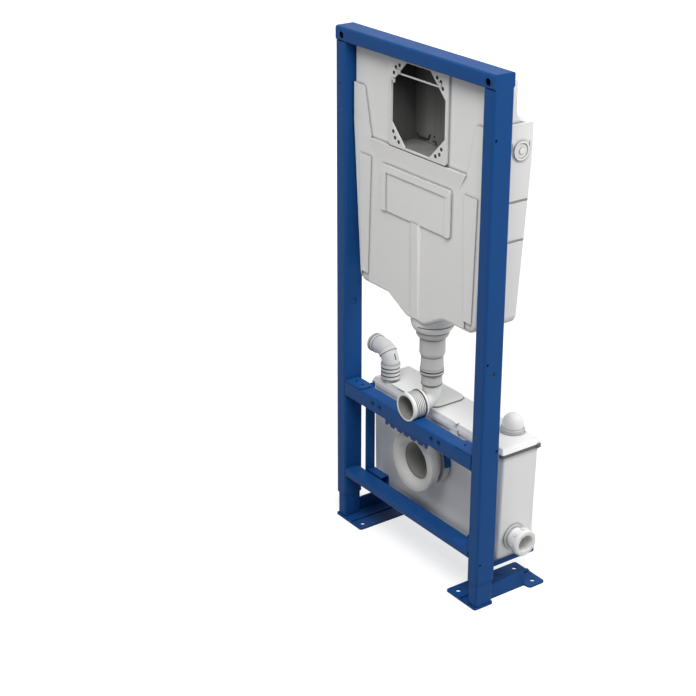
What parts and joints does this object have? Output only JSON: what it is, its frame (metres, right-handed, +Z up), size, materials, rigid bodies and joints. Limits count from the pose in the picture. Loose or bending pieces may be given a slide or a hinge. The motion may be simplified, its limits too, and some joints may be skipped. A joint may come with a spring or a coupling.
{
  "type": "wall hung toilet frame",
  "caption": "Free-standing blue steel installation frame for a wall hung toilet, carrying a concealed cistern, flush pipe, waste collar and slim macerator pump tank.",
  "frame": {"origin": "on the floor, midway between the foot plates' four inner fixing holes", "axes": "+Z up, +X across to the right seen from the front, +Y back towards the wall; the pan hangs on the -Y side"},
  "size_m": [0.508, 0.193, 1.13],
  "materials": {
    "blue_steel": "satin powder coat",
    "cistern_plastic": "moulded, satin",
    "fitting_plastic": "moulded, satin",
    "pump_plastic": "moulded, semi-gloss",
    "pipe_plastic": "extruded, satin",
    "shaft_plastic": "moulded, matt"
  },
  "bodies": {
    "root": {"left_upright": "blue_steel", "right_upright": "blue_steel", "top_bar": "blue_steel", "upper_cross_bar": "blue_steel", "lower_cross_bar": "blue_steel", "left_leg": "blue_steel", "right_leg": "blue_steel", "left_foot_plate": "blue_steel", "right_foot_plate": "blue_steel", "left_end_plate": "blue_steel", "right_end_plate": "blue_steel", "left_hanger_post": "blue_steel", "right_hanger_post": "blue_steel", "left_hanger_arm": "blue_steel", "right_hanger_arm": "blue_steel", "toothed_rail": "blue_steel", "waste_clamp": "blue_steel", "pump_tray": "blue_steel", "cistern_front": "cistern_plastic", "cistern_back": "cistern_plastic", "blank_plate": "cistern_plastic", "left_inlet_boss": "cistern_plastic", "right_inlet_boss": "cistern_plastic", "service_shaft": "shaft_plastic", "opening_collar": "fitting_plastic", "corner_gussets": "fitting_plastic", "sump_boss": "cistern_plastic", "outlet_nut": "pipe_plastic", "upper_sleeve": "pipe_plastic", "lower_sleeve": "pipe_plastic", "flush_elbow": "fitting_plastic", "flush_spigot": "fitting_plastic", "pump_tank": "pump_plastic", "pump_lid": "pump_plastic", "lid_cover": "pump_plastic", "lid_clips": "pump_plastic", "vent_dome": "pump_plastic", "discharge_coupling": "fitting_plastic", "discharge_elbow_lower": "fitting_plastic", "discharge_elbow_upper": "fitting_plastic", "waste_collar": "fitting_plastic", "waste_pipe": "fitting_plastic", "inlet_stub": "pump_plastic", "inlet_nut": "fitting_plastic"}
  },
  "joints": []
}
